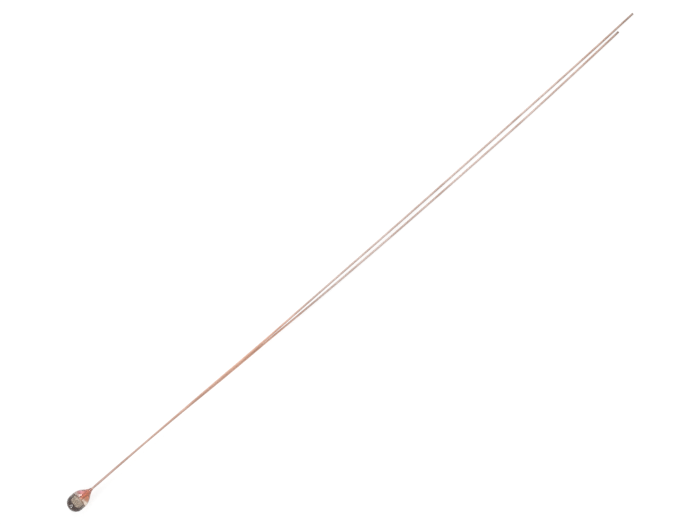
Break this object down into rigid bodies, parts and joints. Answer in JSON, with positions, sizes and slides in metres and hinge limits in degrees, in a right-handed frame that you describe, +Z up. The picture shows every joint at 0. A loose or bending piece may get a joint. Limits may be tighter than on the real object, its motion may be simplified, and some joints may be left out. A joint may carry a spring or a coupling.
{
  "type": "glass bead ntc thermistor",
  "caption": "Teardrop glass bead with a sintered sensing chip sealed inside and a pair of long, thin bare leads, lying flat.",
  "frame": {"origin": "centre of the glass bead, on its axis, 0.9 mm above the surface the part lies on", "axes": "+X along the bead's axis towards the free ends of the leads, +Z up from the surface the part lies on"},
  "size_m": [0.075, 0.0018, 0.0018],
  "materials": {
    "clear_glass": "fire polished",
    "oxide_ceramic": "matte sintered",
    "fired_silver": "matte fired",
    "silver_paste": "matte",
    "copper_clad_wire": "drawn"
  },
  "bodies": {
    "root": {"glass_bead": "clear_glass", "thermistor_chip": "oxide_ceramic", "upper_electrode": "fired_silver", "lower_electrode": "fired_silver", "upper_bond": "silver_paste", "lower_bond": "silver_paste", "upper_lead": "copper_clad_wire", "lower_lead": "copper_clad_wire"}
  },
  "joints": []
}
